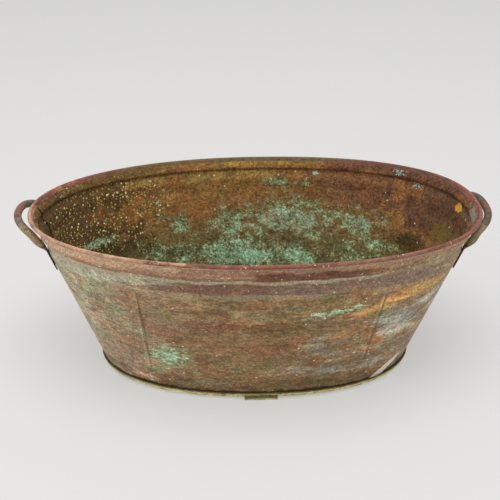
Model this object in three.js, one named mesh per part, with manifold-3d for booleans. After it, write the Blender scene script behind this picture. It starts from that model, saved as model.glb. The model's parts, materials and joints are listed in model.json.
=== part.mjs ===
// An oval drinks tub of patinated copper sheet with two fixed loop handles, in millimetres.
// +Z is up and the tub stands on Z = 0. +X runs along its length to the right handle.
// The front of the tub, with its pressed frame, faces -Y.

import * as THREE from 'three';
import { mergeVertices } from 'three/addons/utils/BufferGeometryUtils.js';
import Module from 'manifold-3d';

const wasm = await Module();
wasm.setup();

// The air or solder film between pieces that touch.
const clearance = 0.3;

// Plans of the tub: the outside of the rolled rim, and the wall's outer face at the base.
// The tub was shaped by hand, so its two ends reach unequally far from the line of the strap, and
// the right end is the fuller one: a squareness of 2 is a true ellipse, and a larger one is fuller.
const rimPlan = {
  width: 424, left: { reach: 327, squareness: 2.07 }, right: { reach: 317, squareness: 2.31 },
};
const footPlan = {
  width: 292, left: { reach: 231.5, squareness: 2.2 }, right: { reach: 217.5, squareness: 2.26 },
};

// Heights. The strap carries the tub, so the base hangs just above the ground.
const tubHeight = 230;
const strapThickness = 3.7;
const baseBottom = strapThickness + clearance;
const rimTop = baseBottom + tubHeight;

// Sheet and rim: the sheet curls outwards over an iron wire.
const sheet = 0.8;
const rimWireDiameter = 3.8;
const rollInside = rimWireDiameter / 2 + clearance;
const rollOutside = rollInside + sheet;
const rollEnd = -125;
const rollSteps = 8;
const rimWireSides = 6;

// Two round grooves are rolled into the wall under the rim, to stiffen it.
const grooves = [
  { depth: 15, push: 3.2, reachUp: 11, reachDown: 6 },
  { depth: 35.5, push: 3.0, reachUp: 10.5, reachDown: 16 },
];
const grooveSteps = 3;

// Base seam: the wall's foot is turned out and up, and the base's edge is hooked over it.
const seamHeight = 6.6;
const hookGap = 0.6;
const seamChamfer = 0.4;
const hookInside = clearance;
const hookOutside = hookInside + sheet;
const flangeInside = hookOutside + clearance;
const flangeOutside = flangeInside + sheet;
const bandInside = flangeOutside + clearance;
const bandOutside = bandInside + sheet;
const seamTop = baseBottom + seamHeight;
const wallBottom = baseBottom + sheet + clearance;
const flangeTop = seamTop - sheet - clearance;

// End seams: at both ends the back sheet runs on outside the front sheet. The step outwards
// fades in above the base seam, and fades out again at the start of the upper groove.
const lapAngle = 3;
const joggleAngle = 1.6;
const lapShift = sheet + clearance;
const lapAboveSeam = 0.5;
const lapFade = grooves[0].reachUp / grooveSteps;
const lapBottom = seamTop + lapAboveSeam;
const lapTop = rimTop - grooves[0].depth + grooves[0].reachUp;

// The frame pressed into the front sheet, around a bare field. Its side lines stand at angles
// round the plan from the middle of the front.
const frontAngle = 270;
const frameLeftAngle = 33.1;
const frameRightAngle = 30.6;
const frameAboveBase = 53.5;
const frameUnderRim = 67.5;
const frameLineWidth = 3.2;
const frameLineHeight = 0.8;
const frameBottom = baseBottom + frameAboveBase;
const frameTop = rimTop - frameUnderRim;

// Cross strap under the base, its ends turned up against the seam.
const strapWidth = 46;
const strapTabThickness = 2;
const strapTabRise = 3.9;
const strapCorner = 1.2;

// Handles: a tube bent to a half oval, its ends flattened into palms soldered to the wall.
// A palm runs up the wall from one depth under the rim to another, and the grip's middle line
// comes up to a depth under the rim and out past the rim's end.
const tubeDiameter = 11.5;
const tubeSides = 12;
const palmThickness = 2;
const palmWidth = 18;
const palmFoot = 77;
// Above the palm the tube thickens along the wall over this height, and then springs away.
const shoulderHeight = 11;
const shoulderGap = 0.2;
const gripTurns = [12, 28, 46, 68, 90, 112, 134, 152, 168];
// The powers are those of the sine and cosine of a grip's turn, for how it reaches out, rises
// and closes in from its legs.
const leftHandle = {
  side: 'left', palmAngle: 166, palmTop: 44, gripTop: 5.7, pastRim: 15, gripShift: 2.2,
  outwardPower: 0.87, risePower: 0.56, spreadPower: 0.88,
};
const rightHandle = {
  side: 'right', palmAngle: 16, palmTop: 44, gripTop: 9.8, pastRim: 10.4, gripShift: 6.9,
  outwardPower: 1.05, risePower: 0.52, spreadPower: 0.77,
};

const up = new THREE.Vector3(0, 0, 1);
const radians = THREE.MathUtils.degToRad;

// How far a value has gone from one limit to another, from 0 to 1.
function share(value, from, to) {
  return THREE.MathUtils.clamp((value - from) / (to - from), 0, 1);
}

// A power that keeps the sign of its base, for the fuller-than-elliptic plan.
function signedPower(base, power) {
  return Math.sign(base) * Math.abs(base) ** power;
}

function planPoint(angle, plan) {
  const { reach, squareness } = Math.cos(angle) < 0 ? plan.left : plan.right;
  const x = reach * signedPower(Math.cos(angle), 2 / squareness);
  const y = (plan.width / 2) * signedPower(Math.sin(angle), 2 / squareness);
  return new THREE.Vector3(x, y, 0);
}

function planOutward(point, plan) {
  const { reach, squareness } = point.x < 0 ? plan.left : plan.right;
  const x = signedPower(point.x / reach, squareness - 1) / reach;
  const y = signedPower(point.y / (plan.width / 2), squareness - 1) / (plan.width / 2);
  return new THREE.Vector3(x, y, 0).normalize();
}

// One upright line of the wall: its foot, the way out, its lean and the middle of the rim's roll.
function makeStation(degrees) {
  const angle = radians(degrees);
  const foot = planPoint(angle, footPlan).setZ(baseBottom);
  const rim = planPoint(angle, rimPlan);
  const outward = planOutward(rim, rimPlan);
  const along = new THREE.Vector3().crossVectors(up, outward);
  const rollCentre = rim.addScaledVector(outward, -rollOutside).setZ(rimTop - rollOutside);
  const reach = rollCentre.clone().sub(foot);
  const run = reach.dot(outward);
  const lean = Math.atan2(run, reach.z) - Math.asin(rollInside / Math.hypot(run, reach.z));
  return { degrees, foot, outward, along, lean, drift: reach.dot(along) / reach.z, rollCentre };
}

// A point at a height, its offset measured square to the wall's straight outer face.
function offsetPoint(station, z, offset) {
  const height = z - baseBottom;
  const run = height * Math.tan(station.lean) + offset / Math.cos(station.lean);
  return station.foot.clone()
    .addScaledVector(station.outward, run)
    .addScaledVector(station.along, height * station.drift)
    .setZ(z);
}

// A point round the rim's roll: 0 degrees faces out and 90 degrees faces up.
function rollPoint(station, radius, degrees) {
  return station.rollCentre.clone()
    .addScaledVector(station.outward, radius * Math.cos(radians(degrees)))
    .addScaledVector(up, radius * Math.sin(radians(degrees)));
}

function grooveDepth(z) {
  const below = rimTop - z;
  let push = 0;
  for (const groove of grooves) {
    const distance = below - groove.depth;
    const reach = distance < 0 ? groove.reachUp : groove.reachDown;
    const turn = Math.min(Math.abs(distance) / reach, 1) * Math.PI;
    push += groove.push * (1 + Math.cos(turn)) / 2;
  }
  return push;
}

// A side line of the frame, and how far the wall's face moves along there for each degree, at
// mid height.
function makeFrameSide(degrees) {
  const edges = [degrees, degrees + 1].map(radians);
  const [here, next] = edges.map((angle) => planPoint(angle, rimPlan).add(planPoint(angle, footPlan)));
  const millimetresPerDegree = here.distanceTo(next) / 2;
  return { degrees, millimetresPerDegree, halfLine: frameLineWidth / 2 / millimetresPerDegree };
}

const frameLeft = makeFrameSide(frontAngle - frameLeftAngle);
const frameRight = makeFrameSide(frontAngle + frameRightAngle);

// The pressed frame is a low ridge along the border of its field.
function frameRelief(degrees, z) {
  const side = degrees < frontAngle ? frameLeft : frameRight;
  const pastSide = Math.abs(degrees - frontAngle) - Math.abs(side.degrees - frontAngle);
  const across = pastSide * side.millimetresPerDegree;
  const above = Math.abs(z - (frameTop + frameBottom) / 2) - (frameTop - frameBottom) / 2;
  const inside = across < 0 && above < 0;
  const away = inside ? Math.min(-across, -above) : Math.hypot(Math.max(across, 0), Math.max(above, 0));
  return frameLineHeight * (1 - share(away, 0, frameLineWidth / 2));
}

// The back sheet steps outwards near its two ends, to pass outside the front sheet.
function lapStep(degrees, z) {
  const pastEnd = Math.abs(degrees - 90) - 90;
  const along = share(pastEnd, -joggleAngle, 0);
  const low = share(z, lapBottom, lapBottom + lapFade);
  const high = share(z, lapTop, lapTop - lapFade);
  return lapShift * along * low * high;
}

// The angles of the wall's upright lines, the same for every piece that follows the plan.
function stationAngles(from, to) {
  const angles = new Set();
  for (let degrees = -5; degrees <= 365; degrees += 5) {
    angles.add(degrees);
  }
  for (const end of [0, 180, 360]) {
    angles.add(end - lapAngle).add(end + lapAngle);
    angles.add(end - joggleAngle).add(end + joggleAngle);
  }
  for (const side of [frameLeft, frameRight]) {
    for (const line of [-1, 0, 1]) {
      angles.add(side.degrees + line * side.halfLine);
    }
  }
  return [...angles].filter((degrees) => degrees >= from && degrees <= to).sort((a, b) => a - b);
}

function makeStations(from, to) {
  return stationAngles(from, to).map(makeStation);
}

// The triangles that close the end of a skin. The outline's points pair up across it from its
// first edge to its middle one, as they do on both faces of a bent sheet and on a tube's section.
function capTriangles(outline, turned) {
  const count = outline.length;
  const triangles = [];
  for (let i = 1; i < count / 2; i += 1) {
    const [here, next] = [outline[i], outline[i + 1]];
    const [across, nextAcross] = [outline[(count + 1 - i) % count], outline[count - i]];
    triangles.push([here, next, nextAcross], [here, nextAcross, across]);
  }
  return turned ? triangles.map(([a, b, c]) => [a, c, b]) : triangles;
}

// A closed solid skinned through a row of outlines with equal numbers of points.
// A ring joins its last outline to its first, and any other row is capped at both ends.
function skin(outlines, isRing) {
  const triangles = [];
  const spans = isRing ? outlines.length : outlines.length - 1;
  for (let i = 0; i < spans; i += 1) {
    const here = outlines[i];
    const next = outlines[(i + 1) % outlines.length];
    for (let j = 0; j < here.length; j += 1) {
      const k = (j + 1) % here.length;
      triangles.push([here[j], next[k], next[j]], [here[j], here[k], next[k]]);
    }
  }
  if (!isRing) {
    triangles.push(...capTriangles(outlines[0], true), ...capTriangles(outlines.at(-1), false));
  }
  return solidOf(triangles.filter(([a, b, c]) => a.distanceTo(b) && b.distanceTo(c) && c.distanceTo(a)));
}

// A geometry of triangles that face outwards as a whole.
function solidOf(triangles) {
  const corner = new THREE.Vector3();
  let volume = 0;
  for (const [a, b, c] of triangles) {
    volume += corner.crossVectors(b, c).dot(a);
  }
  const ordered = volume > 0 ? triangles : triangles.map(([a, b, c]) => [a, c, b]);
  const geometry = new THREE.BufferGeometry().setFromPoints(ordered.flat());
  geometry.computeVertexNormals();
  return geometry;
}

function toManifold(geometry) {
  const bare = geometry.clone();
  bare.deleteAttribute('normal');
  bare.deleteAttribute('uv');
  const merged = mergeVertices(bare);
  const vertProperties = new Float32Array(merged.attributes.position.array);
  const triVerts = new Uint32Array(merged.index.array);
  return new wasm.Manifold(new wasm.Mesh({ numProp: 3, vertProperties, triVerts }));
}

function fromManifold(solid) {
  const { vertProperties, triVerts } = solid.getMesh();
  const geometry = new THREE.BufferGeometry();
  geometry.setAttribute('position', new THREE.BufferAttribute(vertProperties, 3));
  geometry.setIndex(new THREE.BufferAttribute(triVerts, 1));
  return geometry;
}

// One sheet of the wall: turned-out foot, outer face, curl over the rim wire, inner face.
function wallOutline(station, rows, relief) {
  const face = (z, offset) => offsetPoint(station, z, offset - grooveDepth(z) + relief(station.degrees, z));
  const start = 180 - THREE.MathUtils.radToDeg(station.lean);
  const turns = Array.from({ length: rollSteps + 1 }, (_, i) => start + (rollEnd - start) * i / rollSteps);
  return [
    offsetPoint(station, flangeTop, flangeOutside),
    offsetPoint(station, flangeTop, flangeInside),
    offsetPoint(station, wallBottom + sheet, flangeInside),
    offsetPoint(station, wallBottom + sheet, 0),
    ...rows.map((z) => face(z, 0)),
    ...turns.map((degrees) => rollPoint(station, rollInside, degrees)),
    ...turns.reverse().map((degrees) => rollPoint(station, rollOutside, degrees)),
    ...rows.slice().reverse().map((z) => face(z, -sheet)),
    offsetPoint(station, wallBottom, -sheet),
    offsetPoint(station, wallBottom, flangeOutside),
  ];
}

// Heights of the wall's rows of points from the foot up: a sheet's own and those of the grooves.
function sortedRows(own) {
  const grooveRows = grooves.flatMap(({ depth, reachUp, reachDown }) => {
    const steps = Array.from({ length: 2 * grooveSteps + 1 }, (_, i) => i / grooveSteps - 1);
    return steps.map((step) => rimTop - depth - step * (step < 0 ? reachUp : reachDown));
  });
  return [...own, ...grooveRows].sort((a, b) => a - b);
}

function makeFrontWall() {
  const line = frameLineWidth / 2;
  const frameRows = [frameBottom, frameTop].flatMap((z) => [z - line, z, z + line]);
  const rows = sortedRows(frameRows);
  const outlines = makeStations(180, 360).map((station) => wallOutline(station, rows, frameRelief));
  return skin(outlines, false);
}

// The lap stops short of the rim's roll and of the base seam, where the two sheets meet edge to edge.
function makeBackWall() {
  const rows = sortedRows([lapBottom, lapBottom + lapFade]);
  const stations = makeStations(-lapAngle, 180 + lapAngle);
  const outlines = stations.map((station) => wallOutline(station, rows, lapStep));
  let wall = toManifold(skin(outlines, false));
  const spare = 20;
  const notch = (low, high) => {
    const length = 2 * Math.max(rimPlan.left.reach, rimPlan.right.reach) + spare;
    const geometry = new THREE.BoxGeometry(length, 2 * spare, high - low);
    geometry.translate(0, clearance - spare, (low + high) / 2);
    return toManifold(geometry);
  };
  wall = wall.subtract(notch(lapTop - lapFade, rimTop + spare));
  wall = wall.subtract(notch(baseBottom - spare, lapBottom + lapFade));
  return fromManifold(wall);
}

function makeRimWire() {
  const outlines = makeStations(0, 359).map((station) => {
    const turns = Array.from({ length: rimWireSides }, (_, i) => 360 * i / rimWireSides);
    return turns.map((degrees) => rollPoint(station, rimWireDiameter / 2, degrees));
  });
  return skin(outlines, true);
}

// The base: a flat oval whose edge is turned up and hooked over the wall's foot.
function makeBase() {
  const outlines = makeStations(0, 359).map((station) => {
    const at = (z, offset) => offsetPoint(station, z, offset);
    return [
      new THREE.Vector3(0, 0, baseBottom + sheet),
      at(baseBottom + sheet, bandInside),
      at(seamTop - sheet, bandInside),
      at(seamTop - sheet, hookOutside),
      at(wallBottom + sheet + hookGap, hookOutside),
      at(wallBottom + sheet + hookGap, hookInside),
      at(seamTop - seamChamfer, hookInside),
      at(seamTop, hookInside + seamChamfer),
      at(seamTop, bandOutside - seamChamfer),
      at(seamTop - seamChamfer, bandOutside),
      at(baseBottom + seamChamfer, bandOutside),
      at(baseBottom, bandOutside - seamChamfer),
      new THREE.Vector3(0, 0, baseBottom),
    ];
  });
  return skin(outlines, true);
}

// The strap lies across the middle of the base, and its end tabs lean with the seam.
function makeStrap() {
  const front = makeStation(frontAngle);
  const seamFace = (z) => -offsetPoint(front, z, bandOutside + clearance).y;
  const tabFace = (z) => -offsetPoint(front, z, bandOutside + clearance + strapTabThickness).y;
  const tabTop = strapThickness + strapTabRise;
  const half = [
    [tabFace(strapCorner) - strapCorner, 0],
    [tabFace(strapCorner), strapCorner],
    [tabFace(tabTop), tabTop],
    [seamFace(tabTop), tabTop],
    [seamFace(strapThickness), strapThickness],
  ];
  const mirrored = half.map(([y, z]) => [-y, z]).reverse();
  const profile = new THREE.Shape([...half, ...mirrored].map(([y, z]) => new THREE.Vector2(y, z)));
  const geometry = new THREE.ExtrudeGeometry(profile, { depth: strapWidth, bevelEnabled: false });
  geometry.translate(0, 0, -strapWidth / 2);
  geometry.applyMatrix4(new THREE.Matrix4().makeBasis(
    new THREE.Vector3(0, 1, 0), new THREE.Vector3(0, 0, 1), new THREE.Vector3(1, 0, 0)));
  return geometry;
}

// The middle line of a handle: up one palm, round the grip and down the other palm.
// The grip springs from shoulders above the palms, where the tube has its full thickness.
function handlePath(handle) {
  const station = makeStation(handle.palmAngle);
  const palmOffset = clearance + palmThickness / 2;
  const low = offsetPoint(station, rimTop - palmFoot, palmOffset);
  const high = offsetPoint(station, rimTop - handle.palmTop, palmOffset);
  const shoulderOffset = clearance + shoulderGap + tubeDiameter / 2;
  const root = offsetPoint(station, high.z + shoulderHeight, shoulderOffset);
  const end = (rimPlan[handle.side].reach + handle.pastRim) * (handle.side === 'left' ? -1 : 1);
  const rise = rimTop - handle.gripTop - root.z;
  const grip = gripTurns.map((degrees) => {
    const outward = Math.sin(radians(degrees));
    const across = signedPower(Math.cos(radians(degrees)), handle.spreadPower);
    const x = root.x + (end - root.x) * outward ** handle.outwardPower;
    const y = root.y * across + handle.gripShift * outward;
    return new THREE.Vector3(x, y, root.z + rise * outward ** handle.risePower);
  });
  const leg = [0, 0.5, 0.9, 1].map((along) => low.clone().lerp(high, along)).concat(root);
  const otherLeg = leg.map((point) => point.clone().multiply(new THREE.Vector3(1, -1, 1))).reverse();
  const path = new THREE.CatmullRomCurve3([...leg, ...grip, ...otherLeg], false, 'centripetal');
  return { path, palmLength: low.distanceTo(high), palmBlend: high.distanceTo(root) };
}

// Half width and half thickness of a handle at a distance from its nearer end.
function handleSection(distance, palmLength, palmBlend) {
  const round = palmWidth / 2;
  const tip = Math.sqrt(1 - (1 - Math.min(distance / round, 1)) ** 2);
  const blend = THREE.MathUtils.smoothstep(distance, palmLength, palmLength + palmBlend);
  return {
    halfWidth: THREE.MathUtils.lerp(tip * palmWidth / 2, tubeDiameter / 2, blend),
    halfThickness: THREE.MathUtils.lerp(palmThickness / 2, tubeDiameter / 2, blend),
    squareness: THREE.MathUtils.lerp(4, 2, blend),
  };
}

function makeHandle(handle) {
  const { path, palmLength, palmBlend } = handlePath(handle);
  const length = path.getLength();
  const station = makeStation(handle.palmAngle);
  const wallNormal = station.outward.clone().multiplyScalar(Math.cos(station.lean));
  wallNormal.addScaledVector(up, -Math.sin(station.lean));
  const otherNormal = wallNormal.clone().multiply(new THREE.Vector3(1, -1, 1));
  const endDistances = [0.4, 2, 5, palmWidth / 2, palmLength / 2, palmLength - 3];
  const middle = length - 2 * palmLength;
  const steps = 36;
  const distances = [
    ...endDistances,
    ...Array.from({ length: steps + 1 }, (_, i) => palmLength + middle * i / steps),
    ...endDistances.map((distance) => length - distance).reverse(),
  ];
  const outlines = distances.map((distance) => {
    const centre = path.getPointAt(distance / length);
    const tangent = path.getTangentAt(distance / length);
    const facing = wallNormal.clone().lerp(otherNormal, share(distance, palmLength, length - palmLength));
    const thick = facing.projectOnPlane(tangent).normalize();
    const wide = new THREE.Vector3().crossVectors(tangent, thick);
    const section = handleSection(Math.min(distance, length - distance), palmLength, palmBlend);
    return Array.from({ length: tubeSides }, (_, i) => {
      const angle = (i + 0.5) * 2 * Math.PI / tubeSides;
      const across = section.halfWidth * signedPower(Math.cos(angle), 2 / section.squareness);
      const through = section.halfThickness * signedPower(Math.sin(angle), 2 / section.squareness);
      return centre.clone().addScaledVector(wide, across).addScaledVector(thick, through);
    });
  });
  return skin(outlines, false);
}

function addPiece(group, name, geometry, color, roughness, metalness) {
  const material = new THREE.MeshStandardMaterial({ color, roughness, metalness });
  const mesh = new THREE.Mesh(geometry, material);
  mesh.name = name;
  group.add(mesh);
}

const tub = new THREE.Group();
addPiece(tub, 'front_wall_sheet', makeFrontWall(), '#83654f', 0.55, 0.6);
addPiece(tub, 'back_wall_sheet', makeBackWall(), '#6a4f39', 0.6, 0.55);
addPiece(tub, 'rim_wire', makeRimWire(), '#6b6259', 0.5, 0.9);
addPiece(tub, 'base_sheet', makeBase(), '#8a7d4e', 0.6, 0.55);
addPiece(tub, 'base_strap', makeStrap(), '#a0905c', 0.6, 0.5);
addPiece(tub, 'left_handle', makeHandle(leftHandle), '#77674f', 0.5, 0.65);
addPiece(tub, 'right_handle', makeHandle(rightHandle), '#6f604b', 0.5, 0.65);

// The origin is the middle of the overall length, and the strap lies a little beside it.
const leftEnd = rimPlan.left.reach + leftHandle.pastRim;
const rightEnd = rimPlan.right.reach + rightHandle.pastRim;
tub.position.x = (leftEnd - rightEnd) / 2;

export default tub;
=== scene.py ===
# %% [markdown]
# # An old oval drinks tub in patinated copper
# The tub is a tinsmith's vessel: two bent sheets make the flared wall, the wall's top curls
# over an iron wire, a flat base is hooked on below, and two bent tubes are soldered on as
# handles. The solid model already has these pieces at their true size, in metres. Blender
# gives them softer bends, solder behind the handles, and their patina.

# %% Load the solid model
import json
from math import radians

import bpy
from mathutils import Matrix, Vector

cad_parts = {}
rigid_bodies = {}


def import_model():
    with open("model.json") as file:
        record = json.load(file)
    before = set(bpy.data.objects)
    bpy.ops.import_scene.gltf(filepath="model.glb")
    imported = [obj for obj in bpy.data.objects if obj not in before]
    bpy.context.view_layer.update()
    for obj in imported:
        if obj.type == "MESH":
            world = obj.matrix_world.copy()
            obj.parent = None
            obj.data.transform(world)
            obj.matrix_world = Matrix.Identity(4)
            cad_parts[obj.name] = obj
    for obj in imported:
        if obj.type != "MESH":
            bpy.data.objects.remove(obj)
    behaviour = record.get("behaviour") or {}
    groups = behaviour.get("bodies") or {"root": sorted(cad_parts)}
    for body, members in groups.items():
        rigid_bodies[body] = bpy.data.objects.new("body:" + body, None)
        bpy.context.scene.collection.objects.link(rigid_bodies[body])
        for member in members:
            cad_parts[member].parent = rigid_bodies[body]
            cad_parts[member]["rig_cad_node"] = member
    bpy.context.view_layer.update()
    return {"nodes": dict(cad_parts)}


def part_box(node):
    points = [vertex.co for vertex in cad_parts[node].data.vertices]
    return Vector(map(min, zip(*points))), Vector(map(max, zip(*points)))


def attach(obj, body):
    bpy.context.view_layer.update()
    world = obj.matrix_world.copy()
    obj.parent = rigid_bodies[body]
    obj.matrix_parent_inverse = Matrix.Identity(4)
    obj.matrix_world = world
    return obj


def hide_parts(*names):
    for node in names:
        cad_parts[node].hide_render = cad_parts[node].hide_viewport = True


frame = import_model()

# %% [markdown]
# ## Camera
# The picture was taken from in front and above, with a long lens: the far rim is only a
# little narrower than the near one. The camera is set by where it stands and what it aims at,
# and it is turned a little about its own line of sight, because the picture isn't quite level.

# %% Camera
camera_place = Vector((-0.0130, -1.2670, 0.7299))
aim = Vector((-0.0047, 0, 0.1610))
sight_turn = radians(-0.68)
sensor_width = 36
lens_length = 68.36
bpy.ops.object.camera_add(location=camera_place)
camera = bpy.context.object
facing = (aim - camera_place).to_track_quat("-Z", "Y").to_matrix().to_4x4()
picture_turn = Matrix.Rotation(sight_turn, 4, "Z")
camera.matrix_world = Matrix.Translation(camera_place) @ facing @ picture_turn
camera.data.sensor_width = sensor_width
camera.data.lens = lens_length
bpy.context.scene.camera = camera
print("Camera", round((aim - camera_place).length, 3), "metres from the tub")

# %% [markdown]
# ## Studio
# The tub stands on a pale seamless floor in very soft light, so its shadow is only a faint
# darkening close to the base. A bright even sky gives most of that. One large lamp above and
# a weaker one at the left give the grooves and the rim their gentle highlights. The floor
# glows a little by itself, which keeps it as pale as studio paper without stronger lamps.

# %% Floor
def new_material(name):
    """A material with one shader, and the tree that the shader stands in."""
    material = bpy.data.materials.new(name)
    material.use_nodes = True
    tree = material.node_tree
    tree.nodes.clear()
    shader = tree.nodes.new("ShaderNodeBsdfPrincipled")
    output = tree.nodes.new("ShaderNodeOutputMaterial")
    tree.links.new(shader.outputs["BSDF"], output.inputs["Surface"])
    return material, tree, shader


floor_size = 60
bpy.ops.object.select_all(action="DESELECT")
bpy.ops.mesh.primitive_plane_add(size=floor_size)
floor = bpy.context.object
floor.name = "studio_floor"
floor_paper, _, paper_shader = new_material("studio paper")
paper_shader.inputs["Base Color"].default_value = (0.32, 0.316, 0.31, 1)
paper_shader.inputs["Roughness"].default_value = 1
paper_shader.inputs["Specular IOR Level"].default_value = 0
paper_shader.inputs["Emission Color"].default_value = (1, 0.998, 0.99, 1)
paper_shader.inputs["Emission Strength"].default_value = 0.375
floor.data.materials.append(floor_paper)
print("Floor", floor_size, "metres across")

# %% Light
sky_strength = 0.8


def soft_lamp(name, place, size, power):
    """A square lamp that faces the tub, its size in metres and its power in watts."""
    bpy.ops.object.light_add(type="AREA", location=place)
    lamp = bpy.context.object
    lamp.name = name
    lamp.rotation_euler = (aim - Vector(place)).to_track_quat("-Z", "Y").to_euler()
    lamp.data.shape = "SQUARE"
    lamp.data.size = size
    lamp.data.energy = power


world = bpy.data.worlds.new("even studio sky")
bpy.context.scene.world = world
world.use_nodes = True
sky = world.node_tree.nodes["Background"]
sky.inputs["Color"].default_value = (1, 1, 1, 1)
sky.inputs["Strength"].default_value = sky_strength
soft_lamp("top_lamp", (0.1, -0.7, 3.0), size=2.4, power=55)
soft_lamp("left_lamp", (-2.6, -1.4, 1.9), size=1.6, power=20)
bpy.context.scene.view_settings.view_transform = "Standard"

# %% [markdown]
# ## Rounder pieces from the solids
# A solid model shows long flat facets where the real sheet is bent smoothly. Building the wall
# again would risk losing its fit, so each piece starts as a copy of its solid. The copy's
# loose triangles are merged and joined to quads, its sharp edges are creased, and Subdivision
# Surface then bends the faces between them into one smooth sheet.

# %% Copy a solid and bend it smooth
merge_distance = 0.00002
quad_flatness = radians(40)
quad_squareness = radians(60)


def smooth_copy(node_name, piece_name, sharp_angle, levels):
    """A copy of a solid with its facets bent smooth between its sharp edges."""
    bpy.ops.object.select_all(action="DESELECT")
    node = frame["nodes"][node_name]
    node.select_set(True)
    bpy.context.view_layer.objects.active = node
    bpy.ops.object.duplicate()
    piece = bpy.context.object
    piece.name = piece_name
    bpy.ops.object.parent_clear(type="CLEAR_KEEP_TRANSFORM")
    del piece["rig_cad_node"]
    bpy.ops.object.mode_set(mode="EDIT")
    bpy.ops.mesh.select_all(action="SELECT")
    bpy.ops.mesh.remove_doubles(threshold=merge_distance)
    bpy.ops.mesh.tris_convert_to_quads(face_threshold=quad_flatness, shape_threshold=quad_squareness)
    bpy.ops.mesh.select_all(action="DESELECT")
    bpy.ops.mesh.edges_select_sharp(sharpness=sharp_angle)
    bpy.ops.transform.edge_crease(value=1)
    bpy.ops.object.mode_set(mode="OBJECT")
    bend = piece.modifiers.new("bend smooth", "SUBSURF")
    bend.levels = levels
    bend.render_levels = levels
    bpy.ops.object.modifier_apply(modifier=bend.name)
    bpy.ops.object.shade_smooth_by_angle(angle=sharp_angle)
    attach(piece, "root")
    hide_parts(node_name)
    piece.data.materials.clear()
    print(piece_name, len(piece.data.polygons), "faces")
    return piece


# %% Make the pieces
sheet_edge = radians(50)
strap_edge = radians(30)
front_wall = smooth_copy("front_wall_sheet", "front_wall", sheet_edge, levels=2)
back_wall = smooth_copy("back_wall_sheet", "back_wall", sheet_edge, levels=2)
base = smooth_copy("base_sheet", "base", sheet_edge, levels=2)
strap = smooth_copy("base_strap", "strap", strap_edge, levels=1)
left_handle = smooth_copy("left_handle", "handle_left", sheet_edge, levels=2)
right_handle = smooth_copy("right_handle", "handle_right", sheet_edge, levels=2)

# %% [markdown]
# ## Solder behind the handles
# Each handle ends in two flattened palms, soldered to the wall. A flat palm touches a round
# wall only along its middle, so the solder fills the slit that is left on both sides and under
# the bend of the leg. The solid model leaves this slit open. Molten solder runs down and
# gathers, so each bead starts as a ball, flattened, turned and leant like the wall behind it,
# and is then drawn out narrower towards its top in edit mode.

# %% A bead of solder
wall_lean = radians(21)
solder_half_size = (0.0014, 0.0078, 0.024)
solder_narrow_above = (0.004, 0.010, 0.016)
solder_narrowing = 0.93


def solder_bead(name, place, outwards):
    """A flat bead whose thin side looks outwards, given as an angle seen from above."""
    bpy.ops.object.select_all(action="DESELECT")
    bpy.ops.mesh.primitive_uv_sphere_add(segments=32, ring_count=16, radius=1, location=place,
                                         rotation=(0, wall_lean, outwards), scale=solder_half_size)
    bead = bpy.context.object
    bead.name = name
    bpy.ops.object.transform_apply(location=True, rotation=True, scale=True)
    for rise in solder_narrow_above:
        bpy.ops.object.mode_set(mode="EDIT")
        bpy.ops.mesh.select_all(action="DESELECT")
        bpy.ops.object.mode_set(mode="OBJECT")
        for vertex in bead.data.vertices:
            vertex.select = vertex.co.z > place[2] + rise
        bpy.ops.object.mode_set(mode="EDIT")
        bpy.ops.transform.resize(value=(1, solder_narrowing, 1), center_override=place)
        bpy.ops.object.mode_set(mode="OBJECT")
    bpy.ops.object.shade_smooth()
    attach(bead, "root")
    return bead


# %% Fill the slits
half_turn = radians(180)
palm_turn = radians(18)
left_solder = [
    solder_bead("solder_left_front", (-0.2883, -0.0500, 0.186), half_turn + palm_turn),
    solder_bead("solder_left_back", (-0.2883, 0.0500, 0.186), half_turn - palm_turn),
]
right_solder = [
    solder_bead("solder_right_front", (0.2905, -0.0645, 0.186), -palm_turn),
    solder_bead("solder_right_back", (0.2905, 0.0645, 0.186), palm_turn),
]
print("Solder beads:", len(left_solder + right_solder))

# %% [markdown]
# ## Patterns on a surface
# A patina lies thick in one place and thin in the next. How thick it lies is given by
# patterns with values round 0 to 1: clouds of noise, which can be drawn out sideways for the
# streaks that wiping leaves, oval stains at a given place, and scattered specks. All of them
# are read from object coordinates, in metres, so a stain can be placed by measuring the tub.

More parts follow.
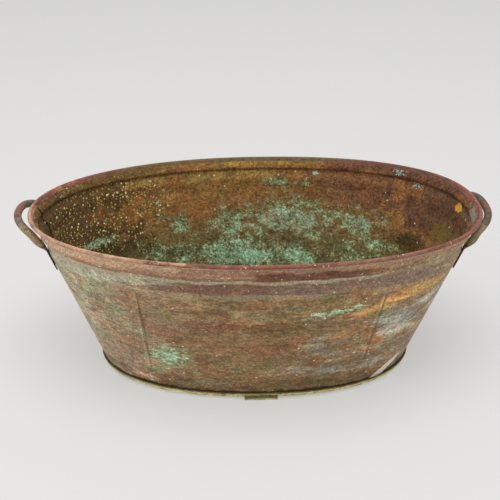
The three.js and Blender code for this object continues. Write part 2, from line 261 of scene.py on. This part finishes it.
# %% Patterns
class Pattern:
    """A material, and the ways to make patterns in it."""

    def __init__(self, name):
        self.material, self.tree, self.shader = new_material(name)
        self.point = self.tree.nodes.new("ShaderNodeTexCoord").outputs["Object"]
        place = self.make("ShaderNodeSeparateXYZ", self.point)
        self.along, self.across, self.height = place.outputs

    def make(self, kind, *inputs, **settings):
        """A node whose first sockets are fed by other sockets or by plain values."""
        node = self.tree.nodes.new(kind)
        for setting, value in settings.items():
            setattr(node, setting, value)
        for value, socket in zip(inputs, node.inputs):
            self.feed(value, socket)
        return node

    def feed(self, value, socket):
        """Links a socket to another one, or sets its plain value."""
        if isinstance(value, bpy.types.NodeSocket):
            self.tree.links.new(value, socket)
        elif value is not None:
            socket.default_value = value

    def math(self, operation, *values):
        """The result of one sum with sockets or numbers."""
        return self.make("ShaderNodeMath", *values, operation=operation).outputs[0]

    def fade(self, value, none, full):
        """0 up to one limit and 1 from the other, with a smooth change between them."""
        return self.make("ShaderNodeMapRange", value, none, full, interpolation_type="SMOOTHSTEP").outputs[0]

    def between(self, value, low, high, soft):
        """1 between two limits, fading out over a soft margin outside them."""
        return self.math("MULTIPLY", self.fade(value, low - soft, low), self.fade(value, high + soft, high))

    def moved(self, stretch=(1, 1, 1), shift=0.0):
        """The object coordinates, squeezed by a stretch and then shifted."""
        return self.make("ShaderNodeVectorMath", self.point, stretch, (shift,) * 3,
                         operation="MULTIPLY_ADD").outputs[0]

    def cloud(self, size, stretch=(1, 1, 1), detail=5.0, roughness=0.65, shift=0.0):
        """Cloudy noise from 0 to 1, of about this size in metres."""
        node = self.make("ShaderNodeTexNoise", self.moved(stretch, shift))
        node.inputs["Scale"].default_value = 1 / size
        node.inputs["Detail"].default_value = detail
        node.inputs["Roughness"].default_value = roughness
        return self.fade(node.outputs["Fac"], 0.3, 0.7)

    def uneven(self, value, cloud, reach):
        """A value pushed up and down by a cloud."""
        return self.math("MULTIPLY_ADD", self.math("SUBTRACT", cloud, 0.5), reach, value)

    def stain(self, centre, reach, turn=0.0):
        """1 in the middle of an oval region, 0 at its edge and less outside."""
        node = self.make("ShaderNodeMapping", self.point, centre, (0, turn, 0), reach, vector_type="TEXTURE")
        away = self.make("ShaderNodeVectorMath", node.outputs[0], operation="LENGTH").outputs["Value"]
        return self.math("SUBTRACT", 1, away)

    def specks(self, size, share_kept, radius, shift=0.0):
        """Round specks, one in each kept cell of a scattering of points."""
        node = self.make("ShaderNodeTexVoronoi", self.moved(shift=shift))
        node.inputs["Scale"].default_value = 1 / size
        kept = self.make("ShaderNodeSeparateXYZ", node.outputs["Color"])
        near = self.fade(node.outputs["Distance"], radius, radius * 0.7)
        chosen = self.math("LESS_THAN", kept.outputs["X"], share_kept)
        return self.math("MULTIPLY", near, chosen)


# %% [markdown]
# ## How a patina is laid on
# Old copper has no single colour. Brown oxide, rust-red and olive films, pale limescale and
# green verdigris lie over each other, each where water or hands left it. A painter would lay
# them on in coats, so that is how these materials are built. A coat covers what is below it by
# an amount from 0 to 1, and a wash only darkens, lightens or warms it, so the colour of the
# place still shows.

# %% A finish laid on in coats
def tint(code):
    """A web colour such as 8a6a4e as the linear colour that a shader wants."""
    parts = [int(code[i:i + 2], 16) / 255 for i in (0, 2, 4)]
    return (*[part / 12.92 if part < 0.04 else ((part + 0.055) / 1.055) ** 2.4 for part in parts], 1)


class Finish(Pattern):
    """A material built up in coats over a ground colour."""

    def __init__(self, name, ground):
        super().__init__(name)
        self.colour = tint(ground)

    def lay(self, colour, amount, blend):
        """Mixes a colour with the ones before it."""
        node = self.make("ShaderNodeMix", data_type="RGBA", blend_type=blend)
        for value, socket in ((amount, 0), (self.colour, 6), (colour, 7)):
            self.feed(value, node.inputs[socket])
        self.colour = node.outputs[2]

    def coat(self, colour, amount, strength=1.0):
        """Covers the colours so far."""
        self.lay(tint(colour), self.math("MULTIPLY", amount, strength), "MIX")

    def wash(self, gain, amount):
        """Multiplies the colours so far by a gain in red, green and blue."""
        self.lay((*gain, 1), amount, "MULTIPLY")

    def mottle(self, cloud, dark, light):
        """Darkens the thin half of a cloud and lightens the thick half."""
        self.wash((dark,) * 3, self.fade(cloud, 0.5, 0.02))
        self.wash((light,) * 3, self.fade(cloud, 0.5, 0.98))

    def patch(self, colour, strength, cloud, centre, reach, turn=0.0, ragged=1.6, edge=0.5):
        """A stain of one colour whose edge and body a cloud breaks up."""
        field = self.uneven(self.stain(centre, reach, turn), cloud, ragged)
        self.coat(colour, self.fade(field, 0, edge), strength)

    def rough_by(self, cloud, change, least):
        """A roughness that a cloud raises from its least value."""
        return self.math("MULTIPLY_ADD", cloud, change, least)

    def complete(self, roughness, gloss, metallic, bump_height, bump):
        """Joins the coats to the shader."""
        self.tree.links.new(self.colour, self.shader.inputs["Base Color"])
        self.tree.links.new(roughness, self.shader.inputs["Roughness"])
        self.shader.inputs["Specular IOR Level"].default_value = gloss
        self.shader.inputs["Metallic"].default_value = metallic
        relief = self.make("ShaderNodeBump")
        relief.inputs["Distance"].default_value = bump_height
        self.tree.links.new(bump, relief.inputs["Height"])
        self.tree.links.new(relief.outputs["Normal"], self.shader.inputs["Normal"])
        print(self.material.name, len(self.tree.nodes), "nodes")
        return self.material


# %% [markdown]
# ## Outside of the wall
# The outside was wiped round and round for years, so its films lie in level streaks of olive,
# brown and dull red. Under the rim, the rolled grooves keep rings of colour, partly because dirt
# and polish stay in them and partly as painted light: a tan ring on the bulge, partly a painted
# highlight, a dark red one below it, partly painted shade in the groove, a thin pale line, and
# then a mauve ring. A thin line of painted shade lies just under the roll. Pale grey-green scale
# has spread over the left part, and a yellow streak of dried lacquer runs down at the right. The
# broad films and stains are coats, and the streaks and the grain over them are washes, so each
# place keeps its own colour.

# %% Broad films of the outside
left_scale_starts, left_scale_full = -0.08, -0.25
right_tan_starts, right_tan_full = 0.1, 0.25
foot_starts, foot_full = 0.045, 0.015


def lay_outside_films(finish, streaks, blotches):
    """Pale scale towards both ends, and the darker foot of the wall."""
    along = finish.uneven(finish.along, blotches, 0.14)
    finish.coat("a69c80", finish.fade(along, left_scale_starts, left_scale_full), 0.95)
    finish.coat("a08a6c", finish.fade(along, right_tan_starts, right_tan_full), 0.85)
    foot = finish.uneven(finish.height, streaks, 0.02)
    finish.coat("715e42", finish.fade(foot, foot_starts, foot_full), 0.75)


# %% Films on the front
front_films = (
    # What it is, colour, strength, place along and up, and reach along and up.
    ("pinkish film low at the left", "9c7c68", 0.8, (-0.195, 0.060), (0.055, 0.034)),
    ("grey scale over the left foot", "a69c86", 0.8, (-0.190, 0.018), (0.055, 0.011)),
    ("grey-green scale at the left end", "ada78c", 0.6, (-0.235, 0.120), (0.040, 0.050)),
    ("brown inside the frame's left line", "8a7156", 0.7, (-0.150, 0.150), (0.040, 0.030)),
    ("red-brown under it", "8b6f58", 0.6, (-0.120, 0.125), (0.045, 0.025)),
    ("red-brown beside the mint stain", "8f7358", 0.6, (-0.160, 0.090), (0.040, 0.020)),
    ("tan near the frame's top", "937e5e", 0.7, (-0.080, 0.160), (0.050, 0.020)),
    ("rust in the middle", "6c5032", 0.85, (0.030, 0.128), (0.055, 0.016)),
    ("rust left of it", "745339", 0.6, (-0.050, 0.130), (0.040, 0.016)),
    ("olive band above the rust", "8c7d5a", 0.6, (-0.020, 0.148), (0.060, 0.012)),
    ("grey-brown right of the middle", "8a7f6c", 0.8, (0.088, 0.084), (0.040, 0.016)),
    ("grey-brown above it", "90856f", 0.6, (0.095, 0.104), (0.060, 0.010)),
    ("blue-grey low at the right", "8c8c80", 0.7, (0.120, 0.050), (0.070, 0.012)),
    ("blue-grey scale at the right", "b2b0a4", 0.9, (0.205, 0.120), (0.056, 0.024)),
    ("the end of that scale", "aca698", 0.7, (0.240, 0.134), (0.030, 0.020)),
    ("tan under the scale", "a89e80", 0.6, (0.200, 0.080), (0.050, 0.014)),
    ("dark foot right of the middle", "604e2e", 0.7, (0.080, 0.026), (0.080, 0.012)),
)
print("Films on the front:", len(front_films))

# %% Small stains on the front
small_stains = (
    # Colour, strength, cloud, place along and up, reach along and up, turn, raggedness, soft edge.
    # Blue-grey scale round the frame's right line.
    ("b0ab9e", 0.85, "blotches", (0.190, 0.118), (0.042, 0.024), -0.2, 0.9, 0.8),
    # An orange-brown smear left of that line, and two on it.
    ("a0764a", 0.75, "streaks", (0.128, 0.112), (0.040, 0.008), -0.3, 1.0, 0.6),
    ("a87244", 0.85, "blotches", (0.153, 0.104), (0.015, 0.010), -0.6, 1.0, 0.7),
    ("a86e44", 0.85, "blotches", (0.166, 0.084), (0.017, 0.008), -0.6, 1.0, 0.6),
    # The yellow streak of lacquer, from its thin low end to the broad one.
    ("b48c5a", 0.9, "blotches", (0.140, 0.139), (0.040, 0.007), -0.35, 1.2, 0.4),
    ("b8905c", 0.9, "blotches", (0.168, 0.151), (0.045, 0.010), -0.2, 0.8, 0.4),
    ("bd945a", 0.95, "blotches", (0.222, 0.162), (0.064, 0.014), -0.06, 0.8, 0.4),
    # A mint stain low at the left, with its dull surround first.
    ("8d9876", 0.8, "blotches", (-0.124, 0.066), (0.034, 0.030), 0, 1.6, 0.6),
    ("9cbc9a", 0.9, "fine", (-0.117, 0.070), (0.022, 0.017), 0, 1.4, 0.7),
    # Mint streaks right of the middle, and under the rim at the left.
    ("a8bd9c", 0.85, "fine", (0.102, 0.150), (0.032, 0.0045), -0.18, 2.2, 0.4),
    ("a9b8a0", 0.7, "fine", (-0.195, 0.192), (0.055, 0.006), -0.04, 2.2, 0.5),
)
print("Small stains on the front:", len(small_stains))

# %% Lay the stains on the front
front_middle = -0.16
front_depth = 0.16


def front_patch(finish, colour, strength, cloud, place, reach, turn=0.0, ragged=1.8, edge=0.6):
    """A patch on the front of the tub, by its place and its reach along and up."""
    centre = (place[0], front_middle, place[1])
    finish.patch(colour, strength, cloud, centre, (reach[0], front_depth, reach[1]), turn, ragged, edge)


def lay_front_stains(finish, streaks, blotches, fine):
    """The films from left to right, and then the small stains."""
    clouds = {"streaks": streaks, "blotches": blotches, "fine": fine}
    for _, colour, strength, place, reach in front_films:
        front_patch(finish, colour, strength, streaks, place, reach)
    for colour, strength, cloud, place, reach, turn, ragged, edge in small_stains:
        front_patch(finish, colour, strength, clouds[cloud], place, reach, turn, ragged, edge)


# %% Rings of colour under the rim
rim_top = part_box("front_wall_sheet")[1].z
rings = (
    # Colour, strength, depths under the rim, and places where it starts and stops.
    # The tan bulge, salmon at the left, partly a painted highlight.
    ("d2b092", 0.95, 0.003, 0.022, -0.50, -0.06),
    ("a5806a", 0.95, 0.004, 0.018, -0.05, 0.10),
    ("b8947a", 0.9, 0.004, 0.018, 0.10, 0.50),
    # The dark red ring under it, partly painted shade in the groove.
    ("a8705c", 0.6, 0.021, 0.028, -0.50, -0.17),
    ("8d6650", 0.75, 0.019, 0.027, -0.15, -0.02),
    ("683f32", 0.9, 0.018, 0.027, -0.02, 0.11),
    # The thin pale line, and scale under it at the left.
    ("b8b096", 0.8, 0.029, 0.0325, -0.50, 0.10),
    ("b8ae96", 0.6, 0.032, 0.050, -0.50, -0.15),
    # The mauve ring, and a faint pale one that ends it.
    ("73564a", 0.8, 0.035, 0.049, -0.12, 0.05),
    ("7c6860", 0.65, 0.036, 0.050, 0.05, 0.24),
    ("a2957c", 0.5, 0.051, 0.056, -0.17, 0.08),
)
ring_soft_end = 0.05
ring_soft_edge = 0.0025
print("Rings:", len(rings), "under a rim", round(rim_top, 4), "metres high")


def lay_outside_rings(finish, blotches):
    """The rings, worn in places, painted shade under the roll, and specks splashed over them."""
    level_cloud = finish.cloud(0.05, (1, 1, 3), detail=3, roughness=0.6, shift=3)
    along_cloud = finish.cloud(0.1, (1, 1, 5), detail=5, roughness=0.7, shift=9)
    level = finish.uneven(finish.height, level_cloud, 0.004)
    along = finish.uneven(finish.along, along_cloud, 0.16)
    worn = finish.math("MULTIPLY_ADD", blotches, 0.35, 0.65)
    for colour, strength, low, high, start, stop in rings:
        around = finish.between(along, start, stop, ring_soft_end)
        upright = finish.between(level, rim_top - high, rim_top - low, ring_soft_edge)
        whole_ring = finish.math("MULTIPLY", around, upright)
        finish.coat(colour, finish.math("MULTIPLY", whole_ring, worn), strength)
    # A line of painted shade just under the roll, where the curl overhangs the wall.
    shade_under_roll = finish.between(finish.height, rim_top - 0.0075, rim_top - 0.004, 0.0012)
    finish.wash((0.62, 0.58, 0.55), shade_under_roll)
    splashed = finish.fade(finish.height, rim_top - 0.06, rim_top - 0.03)
    splashes = finish.specks(0.006, share_kept=0.3, radius=0.2, shift=2.5)
    finish.coat("e0dac4", finish.math("MULTIPLY", splashes, splashed), 0.85)


# %% Lines of the pressed frame
frame_lines = (
    # Middle of each side line on the front, its half length, and how far it leans.
    ((-0.150, 0.107), 0.055, -0.073),
    ((0.160, 0.113), 0.048, 0.2),
)
frame_line_width = 0.003
frame_line_highlight_and_shade = (
    # How far to the right of the line's middle, and the gain in red, green and blue: first a painted
    # highlight, then painted shade.
    (-0.002, (1.3, 1.3, 1.25)),
    (0.0008, (0.62, 0.6, 0.56)),
)


def lay_frame_lines(finish):
    """A painted highlight at the left of each side line, and painted shade at its right."""
    for (x, z), half_length, lean in frame_lines:
        for offset, gain in frame_line_highlight_and_shade:
            reach = (frame_line_width, front_depth, half_length * 1.5)
            line = finish.stain((x + offset, front_middle, z), reach, lean)
            finish.wash(gain, finish.fade(line, 0, 0.4))


# %% Outside patina
seam_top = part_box("base_sheet")[1].z
sideways = (1, 1, 3)
warmer = (1.12, 0.93, 0.87)
greener = (0.92, 1.06, 0.98)
paler = (1.22, 1.2, 1.16)


def lay_outside_scale_and_rust(finish, reds, greys):
    """Grey scale and rust that are spread over the whole outside."""
    finish.coat("938c70", finish.fade(greys, 0.55, 0.95), 0.5)
    finish.coat("7a503c", finish.fade(reds, 0.62, 1.0), 0.55)


def lay_foot_and_chip(finish, fine):
    """Dirt and painted shade in the corner over the seam, and the cream chip of paint low at the right."""
    foot_line = finish.uneven(finish.height, fine, 0.004)
    # Dark in the corner over the seam: dirt and painted shade.
    finish.coat("372c12", finish.fade(foot_line, seam_top + 0.005, seam_top + 0.0015), 0.9)
    front_patch(finish, "efe9d6", 1.0, fine, (0.183, 0.020), (0.033, 0.0066), -0.62, 0.4, 0.2)


def outside_patina():
    """The finish of the wall's outer faces."""
    finish = Finish("outside_patina", "876b49")
    streaks = finish.cloud(0.05, sideways, detail=9, roughness=0.72)
    blotches = finish.cloud(0.03, (1, 1, 1.7), detail=9, roughness=0.74, shift=5.5)
    fine = finish.cloud(0.011, (1, 1, 2), detail=6, roughness=0.75, shift=7.7)
    reds = finish.cloud(0.05, (1, 1, 2.2), detail=9, roughness=0.72, shift=11)
    greys = finish.cloud(0.035, (1, 1, 2.6), detail=9, roughness=0.72, shift=17)
    grain = finish.cloud(0.0035, (1, 1, 1.3), detail=3, roughness=0.8, shift=1.3)
    lay_outside_films(finish, streaks, blotches)
    lay_outside_scale_and_rust(finish, reds, greys)
    lay_front_stains(finish, streaks, blotches, fine)
    finish.wash(warmer, finish.fade(reds, 0.5, 0.95))
    finish.wash(greener, finish.fade(reds, 0.5, 0.05))
    finish.mottle(streaks, dark=0.7, light=1.35)
    finish.mottle(fine, dark=0.68, light=1.35)
    lay_outside_rings(finish, blotches)
    finish.mottle(grain, dark=0.62, light=1.44)
    lay_frame_lines(finish)
    finish.coat("dcd8c4", finish.specks(0.011, share_kept=0.3, radius=0.13), 0.85)
    finish.wash(paler, 1)
    lay_foot_and_chip(finish, fine)
    roughness = finish.rough_by(streaks, 0.25, least=0.42)
    return finish.complete(roughness, gloss=0.25, metallic=0.08, bump_height=0.0008,
                           bump=finish.math("ADD", fine, grain))


# %% [markdown]
# ## Inside of the wall
# Ice water stood in the tub, so verdigris grew where it was wet longest: over the base, up the
# lower wall, and in crusts on the far side. It grows in grains, never as a smooth film, so
# its edge is decided by a cloud with a lot of fine detail. The wall above is brown, olive under
# the rim and redder at the right. Lime has left pale specks, dense at the left end.

# %% Brown ground of the inside
inside_films = (
    # What it is, colour, strength, cloud, centre, reach, raggedness and soft edge.
    ("red-brown right", "7c543a", 0.85, "blotches", (0.16, 0.15, 0.190), (0.15, 0.14, 0.050), 1.0, 0.7),
    ("red-brown band", "8a5c3c", 0.6, "bands", (-0.02, 0.18, 0.165), (0.06, 0.10, 0.020), 1.6, 0.7),
    ("olive high band", "8f7a44", 0.8, "bands", (-0.07, 0.19, 0.208), (0.15, 0.10, 0.010), 1.2, 0.6),
    ("ochre under rim", "977a38", 0.85, "bands", (0.02, 0.20, 0.227), (0.12, 0.08, 0.008), 1.2, 0.6),
    # The dark left end and the brown right end are partly painted shade: the end walls get less light than
    # the far wall.
    ("dark left end", "574429", 0.9, "blotches", (-0.29, 0.05, 0.17), (0.19, 0.2, 0.11), 0.7, 0.7),
    ("olive top left", "6a5530", 0.85, "bands", (-0.20, 0.15, 0.226), (0.15, 0.12, 0.011), 1.0, 0.6),
    ("red top right", "664234", 0.9, "bands", (0.24, 0.12, 0.226), (0.17, 0.18, 0.013), 0.9, 0.6),
    ("brown right end", "614432", 0.9, "blotches", (0.30, 0.04, 0.18), (0.15, 0.18, 0.12), 0.8, 0.7),
    ("dark low right", "46371f", 0.9, "blotches", (0.245, 0.1, 0.125), (0.06, 0.12, 0.035), 0.9, 0.7),
    ("dark low left", "453a1f", 0.8, "blotches", (-0.21, 0.12, 0.120), (0.08, 0.12, 0.040), 1.2, 0.7),
)
groove_depths = (0.017, 0.034)
groove_shade = (0.76, 0.73, 0.68)
print("Films inside:", len(inside_films))


def lay_inside_ground(finish, blotches, bands):
    """Warm brown above, greener where water stood, darker at both ends and along the grooves, partly as
    painted shade.
    """
    clouds = {"blotches": blotches, "bands": bands}
    water_line = finish.uneven(finish.height, blotches, 0.05)
    finish.coat("6b6640", finish.fade(water_line, 0.145, 0.09), 0.9)
    for _, colour, strength, cloud, centre, reach, ragged, edge in inside_films:
        finish.patch(colour, strength, clouds[cloud], centre, reach, ragged=ragged, edge=edge)
    # Painted shade: a dark line under each inward ridge of the grooves.
    for depth in groove_depths:
        line = finish.stain((0, 0, rim_top - depth), (10, 10, 0.005))
        finish.wash(groove_shade, finish.fade(finish.uneven(line, bands, 1.2), 0, 0.9))


# %% Verdigris
wet_places = (
    # Where it is, its centre, and its reach along, across and up.
    ("foot of the far wall", (0.00, 0.17, 0.080), (0.20, 0.16, 0.030)),
    ("crust right of the middle", (0.055, 0.18, 0.134), (0.08, 0.1, 0.030)),
    ("crust left of the middle", (-0.035, 0.18, 0.132), (0.05, 0.08, 0.024)),
    ("small crust left of that", (-0.12, 0.165, 0.137), (0.022, 0.06, 0.018)),
    ("thin band at the left end", (-0.24, 0.09, 0.134), (0.030, 0.07, 0.006)),
    ("crust at the right", (0.176, 0.15, 0.136), (0.034, 0.08, 0.022)),
    ("growth under it", (0.20, 0.12, 0.110), (0.03, 0.08, 0.010)),
    ("high crust", (0.07, 0.19, 0.193), (0.040, 0.05, 0.008)),
    ("base", (0, 0, 0), (0.20, 0.14, 0.045)),
)


def lay_verdigris(finish, blotches, crust, grains):
    """The wet places, from the base up to the highest crusts on the far wall."""
    wetness = None
    for _, centre, reach in wet_places:
        place = finish.stain(centre, reach)
        wetness = place if wetness is None else finish.math("MAXIMUM", wetness, place)
    growth = finish.uneven(finish.uneven(wetness, blotches, 1.2), crust, 1.0)
    growth = finish.uneven(growth, grains, 0.9)
    # A dull green halo, the growth from its thin edge to its thick middle, and two old crusts.
    finish.patch("8a8f68", 0.6, crust, (0.05, 0.18, 0.138), (0.11, 0.12, 0.034), ragged=1.2, edge=0.8)
    finish.coat("626a46", finish.fade(growth, -0.5, 0.5), 0.6)
    finish.coat("93a278", finish.fade(growth, 0.0, 0.9), 0.78)
    finish.coat("94c0a0", finish.fade(growth, 0.6, 1.5), 0.8)
    finish.patch("93a486", 0.55, crust, (0.055, 0.18, 0.132), (0.075, 0.10, 0.026), ragged=1.5, edge=0.7)
    finish.patch("93a486", 0.5, crust, (0.176, 0.15, 0.136), (0.030, 0.08, 0.018), ragged=1.5, edge=0.7)


# %% Spots and lime
inside_spots = (
    # What it is, colour, strength, cloud, centre, reach, raggedness and soft edge.
    # The lap is dirt in the joint together with a painted shadow of the front sheet's raw edge.
    ("dirty lap with painted shadow", "1d160d", 0.95, "crust", (-0.306, 0.0115, 0.207), (0.05, 0.0034, 0.046), 0.6, 0.25),
    ("yellow drop", "d09a34", 0.95, "crust", (0.305, 0.036, 0.209), (0.009, 0.012, 0.008), 0.7, 0.3),
    ("blue crust", "9cc8be", 0.8, "grains", (0.2306, 0.1449, 0.2265), (0.009, 0.012, 0.004), 2, 0.4),
    ("blue crust", "9cc8be", 0.8, "grains", (0.2584, 0.117, 0.2116), (0.006, 0.01, 0.004), 2, 0.4),
    ("pale crust", "b2ccb0", 0.9, "grains", (0.1035, 0.191, 0.2096), (0.005, 0.01, 0.003), 1.6, 0.4),
    ("green crust", "94b8a0", 0.8, "grains", (-0.1529, 0.1653, 0.1735), (0.006, 0.01, 0.004), 1.2, 0.4),
    ("olive stain", "75652c", 0.7, "crust", (0.285, 0.035, 0.165), (0.030, 0.06, 0.028), 1.4, 0.9),
    ("grey stain", "8f8b84", 0.6, "crust", (0.308, -0.03, 0.222), (0.02, 0.04, 0.014), 1.2, 0.6),
)


def lay_inside_spots(finish, crust, grains):
    """The lap of the two sheets at the left end, with dirt and the painted shadow of a sheet's edge, and
    single spots.
    """
    clouds = {"crust": crust, "grains": grains}
    for _, colour, strength, cloud, centre, reach, ragged, edge in inside_spots:
        finish.patch(colour, strength, clouds[cloud], centre, reach, ragged=ragged, edge=edge)


def lay_lime(finish, blotches):
    """Pale specks of lime, dense at the left end and few elsewhere."""
    lime_place = finish.uneven(finish.stain((-0.215, 0.1, 0.165), (0.13, 0.14, 0.07)), blotches, 0.9)
    limy = finish.fade(lime_place, 0, 0.5)
    small = finish.specks(0.0042, share_kept=0.6, radius=0.36)
    large = finish.specks(0.007, share_kept=0.5, radius=0.26, shift=6.5)
    finish.coat("c8b468", finish.math("MULTIPLY", small, limy), 0.9)
    finish.coat("eee0a8", finish.math("MULTIPLY", large, limy), 0.95)
    finish.coat("e4dec0", finish.specks(0.013, share_kept=0.35, radius=0.12, shift=4.0), 0.9)


# %% Inside patina
less_green = (1.08, 0.9, 0.88)


def inside_patina():
    """The finish of the wall's inner faces and of the base inside its seam."""
    finish = Finish("inside_patina", "906a3a")
    blotches = finish.cloud(0.05, (1, 1, 1.3), detail=8, roughness=0.7)
    bands = finish.cloud(0.07, (1, 1, 6), detail=6, roughness=0.65, shift=2.2)
    crust = finish.cloud(0.016, (1, 1, 1.2), detail=6, roughness=0.75, shift=5.2)
    grains = finish.cloud(0.004, (1, 1, 1), detail=3, roughness=0.8, shift=8.8)
    lay_inside_ground(finish, blotches, bands)
    lay_verdigris(finish, blotches, crust, grains)
    finish.wash(less_green, finish.fade(blotches, 0.5, 0.1))
    finish.mottle(bands, dark=0.86, light=1.12)
    finish.mottle(crust, dark=0.66, light=1.3)
    finish.mottle(grains, dark=0.56, light=1.5)
    lay_inside_spots(finish, crust, grains)
    lay_lime(finish, blotches)
    roughness = finish.rough_by(crust, 0.2, least=0.62)
    return finish.complete(roughness, gloss=0.15, metallic=0.0, bump_height=0.001,
                           bump=finish.math("ADD", crust, grains))


# %% [markdown]
# ## Rolled rim
# Hands and bottles rub the top of the roll, so it shows the most copper: salmon at the front
# left, partly a painted highlight, dark red from the middle to the right, and duller olive on the
# far side. Flecks of pale scale sit on it.

# %% Rim patina
rim_films = (
    # What it is, colour, strength, place along and across, reach the same way, raggedness, edge.
    # The salmon at the front left is partly a painted highlight.
    ("salmon at the front left", "b48c70", 0.95, (-0.24, -0.12), (0.22, 0.2), 0.8, 0.6),
    ("worn copper at the front right", "8c6a54", 0.6, (0.16, -0.17), (0.10, 0.10), 1.4, 0.6),
    ("olive far side", "6a5634", 0.95, (-0.05, 0.27), (0.33, 0.2), 0.5, 0.4),
    ("dark red far right", "634334", 0.9, (0.26, 0.2), (0.14, 0.16), 0.6, 0.5),
)
rim_reach_up = 0.1
rubbed = (1.08, 0.92, 0.88)


def rim_patina():
    """The finish of the roll at the top of the wall."""
    finish = Finish("rim_patina", "825040")
    streaks = finish.cloud(0.03, (1, 1, 3), detail=7, roughness=0.7)
    fine = finish.cloud(0.007, (1, 1, 1.6), detail=4, roughness=0.75, shift=5)
    for _, colour, strength, place, reach, ragged, edge in rim_films:
        finish.patch(colour, strength, streaks, (*place, rim_top), (*reach, rim_reach_up),
                     ragged=ragged, edge=edge)
    finish.wash(rubbed, finish.fade(streaks, 0.6, 1.0))
    finish.mottle(streaks, dark=0.72, light=1.22)
    finish.mottle(fine, dark=0.7, light=1.22)
    near_side = finish.fade(finish.across, 0.06, -0.02)
    flecks = finish.specks(0.006, share_kept=0.4, radius=0.2)
    finish.coat("d6cbb0", finish.math("MULTIPLY", flecks, near_side), 0.8)
    roughness = finish.rough_by(streaks, 0.25, least=0.38)
    return finish.complete(roughness, gloss=0.3, metallic=0.1, bump_height=0.0006, bump=fine)


# %% [markdown]
# ## Base, strap and handles
# These are duller: the hooked seam and the strap are yellow-olive, darkened in their corners
# by dirt and painted shade. The handles are grey-olive on top, redder at the corner where a hand
# closes round them, and paler along the leg that comes back to the wall.

# %% Plain tarnish
def mottled_finish(name, ground, light, dark):
    """A dull mottled tarnish, its broad cloud and its fine one."""
    finish = Finish(name, ground)
    broad = finish.cloud(0.02, (1, 1, 2), detail=6, roughness=0.7)
    fine = finish.cloud(0.006, (1, 1, 1), detail=4, roughness=0.75, shift=5)
    finish.coat(light, finish.fade(broad, 0.45, 0.9), 0.8)
    finish.coat(dark, finish.fade(broad, 0.4, 0.05), 0.6)
    return finish, broad, fine


def plain_patina(name, ground, light, dark, grime_and_shade_above=None):
    """A plain tarnish, darkened above a height by dirt and painted shade if one is given."""
    finish, broad, fine = mottled_finish(name, ground, light, dark)
    if grime_and_shade_above is not None:
        # Dirt and painted shade along the top edge, where the part meets the one above it.
        level = finish.uneven(finish.height, fine, 0.002)
        finish.coat("43370f", finish.fade(level, grime_and_shade_above - 0.001, grime_and_shade_above + 0.001), 0.85)
    finish.mottle(fine, dark=0.6, light=1.35)
    roughness = finish.rough_by(broad, 0.25, least=0.45)
    return finish.complete(roughness, gloss=0.25, metallic=0.1, bump_height=0.0006, bump=fine)


# %% Handle patina
def handle_patina(name, end, ground, corner, leg):
    """The tarnish of one handle. End is -1 for the left one and 1 for the right one."""
    finish, broad, fine = mottled_finish(name, ground, ground, "3c3226")
    corner_place = (end * 0.333, -0.01, 0.228)
    leg_place = (end * 0.31, -0.06, 0.205)
    finish.patch(corner, 0.85, broad, corner_place, (0.02, 0.03, 0.03), ragged=0.8, edge=0.5)
    finish.patch(leg, 0.85, broad, leg_place, (0.03, 0.045, 0.03), ragged=1.0, edge=0.5)
    finish.mottle(fine, dark=0.62, light=1.3)
    finish.coat("d8d0ba", finish.specks(0.006, share_kept=0.3, radius=0.12), 0.8)
    roughness = finish.rough_by(broad, 0.25, least=0.42)
    return finish.complete(roughness, gloss=0.3, metallic=0.15, bump_height=0.0006, bump=fine)


# %% Make the finishes
seam_dirt_and_shade_above = seam_top - 0.001
strap_dirt_and_shade_above = 0.0034
finishes = {
    "outside": outside_patina(),
    "inside": inside_patina(),
    "rim": rim_patina(),
    "base": plain_patina("base_patina", "c0b67c", "e0d8a4", "6a602e", seam_dirt_and_shade_above),
    "strap": plain_patina("strap_patina", "c0b473", "e0d69a", "5f5628", strap_dirt_and_shade_above),
    "left handle": handle_patina("left_handle_patina", -1, "66604e", "865848", "a28664"),
    "right handle": handle_patina("right_handle_patina", 1, "5e5040", "70503e", "967f60"),
    "iron": plain_patina("rim_iron", "5a4c42", "6b5a4c", "2f2622"),
}

# %% [markdown]
# ## One sheet, several finishes
# A wall sheet has the outside finish on one face, the inside finish on the other and the rim
# finish on its roll, so each of its faces gets the finish of the side that it looks to. The
# base sheet shows its hooked seam outside and its flat middle inside the tub.

# %% Which side a face is on
roll_height = 0.0058
tub_half_length = 0.32
tub_half_width = 0.21
upward_share = 0.5
base_low, base_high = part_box("base_sheet")
base_squareness = 2.2
seam_share = 0.95


def faces_outwards(polygon):
    """True if a face of the wall looks away from the middle of the tub."""
    centre, normal = polygon.center, polygon.normal
    return normal.x * centre.x / tub_half_length ** 2 + normal.y * centre.y / tub_half_width ** 2 > 0


def inside_seam(point):
    """True for a point of the base that lies inside the hooked seam."""
    x_share = abs(2 * point.x - base_low.x - base_high.x) / (base_high.x - base_low.x)
    y_share = abs(2 * point.y - base_low.y - base_high.y) / (base_high.y - base_low.y)
    return x_share ** base_squareness + y_share ** base_squareness < seam_share


# %% Give the faces their finishes
outside, inside, rim = 0, 1, 2
for sheet in (front_wall, back_wall, base):
    sheet.data.materials.append(finishes["base" if sheet is base else "outside"])
    sheet.data.materials.append(finishes["inside"])
    sheet.data.materials.append(finishes["rim"])
for wall in (front_wall, back_wall):
    for polygon in wall.data.polygons:
        if polygon.center.z > rim_top - roll_height:
            polygon.material_index = rim
        else:
            polygon.material_index = outside if faces_outwards(polygon) else inside
for polygon in base.data.polygons:
    in_tub = polygon.normal.z > upward_share and inside_seam(polygon.center)
    polygon.material_index = inside if in_tub else outside
strap.data.materials.append(finishes["strap"])
for piece in (left_handle, *left_solder):
    piece.data.materials.append(finishes["left handle"])
for piece in (right_handle, *right_solder):
    piece.data.materials.append(finishes["right handle"])
rim_wire = frame["nodes"]["rim_wire"]
rim_wire.data.materials.clear()
rim_wire.data.materials.append(finishes["iron"])
print("Finishes in use:", len(finishes))
